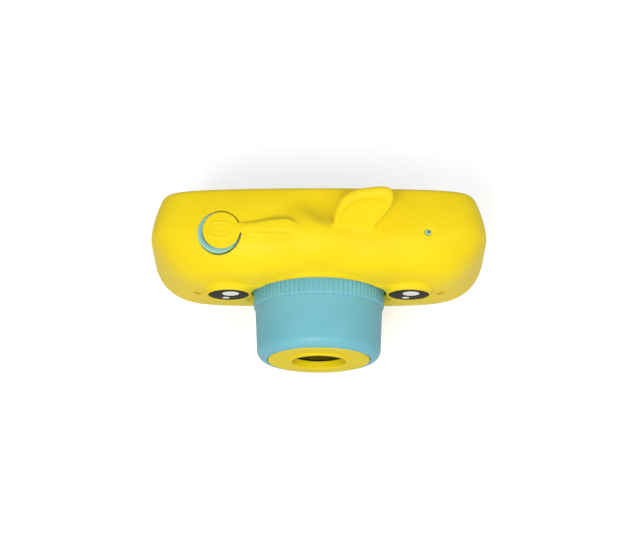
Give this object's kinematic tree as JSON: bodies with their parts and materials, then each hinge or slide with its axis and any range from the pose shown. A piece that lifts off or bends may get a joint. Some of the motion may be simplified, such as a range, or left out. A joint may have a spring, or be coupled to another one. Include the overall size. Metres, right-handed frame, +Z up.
{
  "type": "kids digital camera",
  "caption": "Toy digital camera in a soft rounded cover with animal ears and eyes, round lens barrel, ear-shaped shutter flap, rear screen and keys.",
  "frame": {"origin": "middle of the flat underside that the camera stands on", "axes": "+X to the right of someone facing the lens, +Y away from the lens towards the screen, +Z up"},
  "size_m": [0.0998, 0.0467, 0.0721],
  "materials": {
    "yellow_silicone": "soft satin silicone",
    "blue_plastic": "fine satin moulded plastic",
    "yellow_plastic": "semi-gloss moulded plastic",
    "black_gloss": "high gloss",
    "clear_panel": "tinted, polished",
    "lens_glass": "coated, polished",
    "black_plastic": "matt moulded",
    "green_board": "solder mask",
    "amber_film": "polyimide film",
    "steel": "plated",
    "foil": "foil",
    "screen_panel": "unlit display",
    "green_light": "clear light pipe"
  },
  "bodies": {
    "camera_body": {"silicone_cover": "yellow_silicone", "front_shell": "blue_plastic", "rear_shell": "blue_plastic", "lens_barrel": "blue_plastic", "knurled_ring": "blue_plastic", "lens_bezel": "yellow_plastic", "eye_left": "black_gloss", "eye_right": "black_gloss", "lens_window": "clear_panel", "screen_window": "clear_panel", "lens_element": "lens_glass", "lens_holder": "black_plastic", "image_sensor": "black_plastic", "shutter_switch": "black_plastic", "processor": "black_plastic", "mic_boot": "black_plastic", "up_switch": "black_plastic", "down_switch": "black_plastic", "left_switch": "black_plastic", "right_switch": "black_plastic", "ok_switch": "black_plastic", "power_switch": "black_plastic", "mode_switch": "black_plastic", "play_switch": "black_plastic", "sensor_board": "green_board", "main_board": "green_board", "top_board": "green_board", "camera_ribbon": "amber_film", "barrel_screw_1": "steel", "barrel_screw_2": "steel", "barrel_screw_3": "steel", "usb_socket": "steel", "card_socket": "steel", "shell_screw_1": "steel", "shell_screw_2": "steel", "shell_screw_3": "steel", "shell_screw_4": "steel", "board_screw_1": "steel", "board_screw_2": "steel", "lanyard_pin": "steel", "microphone": "foil", "speaker": "foil", "battery": "foil", "screen_panel": "screen_panel", "status_light": "green_light"},
    "shutter_flap": {"shutter_flap": "yellow_silicone"},
    "shutter_button": {"shutter_button": "blue_plastic"},
    "port_cover": {"port_cover": "yellow_silicone"},
    "memory_card": {"memory_card": "black_plastic"},
    "up_key": {"up_key": "yellow_plastic"},
    "down_key": {"down_key": "yellow_plastic"},
    "left_key": {"left_key": "yellow_plastic"},
    "right_key": {"right_key": "yellow_plastic"},
    "ok_key": {"ok_key": "yellow_plastic"},
    "power_key": {"power_key": "yellow_plastic"},
    "mode_key": {"mode_key": "yellow_plastic"},
    "play_key": {"play_key": "yellow_plastic"}
  },
  "joints": [
    {"name": "shutter_flap_hinge", "type": "hinge", "parent": "camera_body", "child": "shutter_flap", "pos_m": [-0.0218, -0.002, 0.0608], "axis": [0, -1, 0], "range_deg": [0, 4.5]},
    {"name": "shutter_button_slide", "type": "slide", "parent": "camera_body", "child": "shutter_button", "axis": [0, 0, -1], "range_m": [0, 0.0006], "stiffness_N_per_m": 60},
    {"name": "up_key_slide", "type": "slide", "parent": "camera_body", "child": "up_key", "axis": [0, -1, 0], "range_m": [0, 0.0006], "stiffness_N_per_m": 30},
    {"name": "down_key_slide", "type": "slide", "parent": "camera_body", "child": "down_key", "axis": [0, -1, 0], "range_m": [0, 0.0006], "stiffness_N_per_m": 30},
    {"name": "left_key_slide", "type": "slide", "parent": "camera_body", "child": "left_key", "axis": [0, -1, 0], "range_m": [0, 0.0006], "stiffness_N_per_m": 30},
    {"name": "right_key_slide", "type": "slide", "parent": "camera_body", "child": "right_key", "axis": [0, -1, 0], "range_m": [0, 0.0006], "stiffness_N_per_m": 30},
    {"name": "ok_key_slide", "type": "slide", "parent": "camera_body", "child": "ok_key", "axis": [0, -1, 0], "range_m": [0, 0.0006], "stiffness_N_per_m": 30},
    {"name": "power_key_slide", "type": "slide", "parent": "camera_body", "child": "power_key", "axis": [0, -1, 0], "range_m": [0, 0.0006], "stiffness_N_per_m": 30},
    {"name": "mode_key_slide", "type": "slide", "parent": "camera_body", "child": "mode_key", "axis": [0, -1, 0], "range_m": [0, 0.0006], "stiffness_N_per_m": 30},
    {"name": "play_key_slide", "type": "slide", "parent": "camera_body", "child": "play_key", "axis": [0, -1, 0], "range_m": [0, 0.0006], "stiffness_N_per_m": 30},
    {"name": "port_cover_hinge", "type": "hinge", "parent": "camera_body", "child": "port_cover", "pos_m": [0.0165, 0.00255, 0.00035], "axis": [1, 0, 0], "range_deg": [0, 110], "stiffness_Nm_per_rad": 0.0005},
    {"name": "memory_card_slide", "type": "slide", "parent": "camera_body", "child": "memory_card", "axis": [0, 0, 1], "range_m": [0, 0.0008]}
  ],
  "couplings": [
    {"joint": "shutter_flap_hinge", "follows": "shutter_button_slide", "rad_per_m": 128.2}
  ]
}
